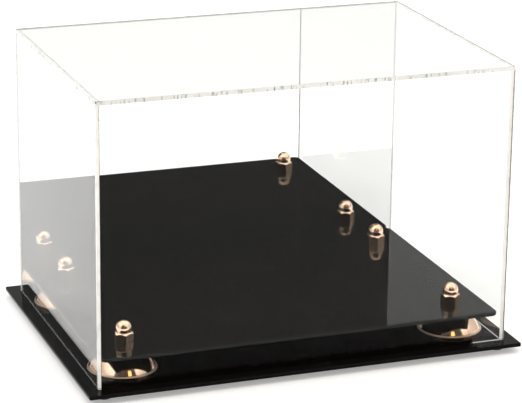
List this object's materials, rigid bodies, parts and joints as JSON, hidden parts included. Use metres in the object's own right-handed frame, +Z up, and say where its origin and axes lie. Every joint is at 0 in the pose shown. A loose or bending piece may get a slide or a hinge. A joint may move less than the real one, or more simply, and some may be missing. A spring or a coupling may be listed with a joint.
{
  "type": "football display case",
  "caption": "Acrylic display case for a football: a black base and a raised black deck on gold bell-shaped risers, under a clear lift-off cover with a mirrored back.",
  "frame": {"origin": "centre of the footprint, on the surface that the rubber feet stand on", "axes": "+X along the case to the viewer's right, +Y towards the mirrored back, +Z up"},
  "size_m": [0.337, 0.242, 0.22],
  "materials": {
    "black_acrylic": "polished",
    "clear_acrylic": "polished",
    "mirror_acrylic": "polished",
    "gold_plating": "polished",
    "zinc_steel": "satin",
    "foot_rubber": "matte"
  },
  "bodies": {
    "base": {"base_plate": "black_acrylic", "deck_plate": "black_acrylic", "riser_cup_front_left": "gold_plating", "riser_cup_front_right": "gold_plating", "riser_cup_rear_left": "gold_plating", "riser_cup_rear_right": "gold_plating", "riser_neck_front_left": "gold_plating", "riser_neck_front_right": "gold_plating", "riser_neck_rear_left": "gold_plating", "riser_neck_rear_right": "gold_plating", "clamp_bolt_front_left": "zinc_steel", "clamp_bolt_front_right": "zinc_steel", "clamp_bolt_rear_left": "zinc_steel", "clamp_bolt_rear_right": "zinc_steel", "acorn_nut_front_left": "gold_plating", "acorn_nut_front_right": "gold_plating", "acorn_nut_rear_left": "gold_plating", "acorn_nut_rear_right": "gold_plating", "rubber_foot_front_left": "foot_rubber", "rubber_foot_front_right": "foot_rubber", "rubber_foot_rear_left": "foot_rubber", "rubber_foot_rear_right": "foot_rubber"},
    "cover": {"front_panel": "clear_acrylic", "left_panel": "clear_acrylic", "right_panel": "clear_acrylic", "top_panel": "clear_acrylic", "mirror_panel": "mirror_acrylic"}
  },
  "joints": [
    {"name": "cover_lift", "type": "slide", "parent": "base", "child": "cover", "axis": [0, 0, 1], "range_m": [0, 0.25]}
  ]
}
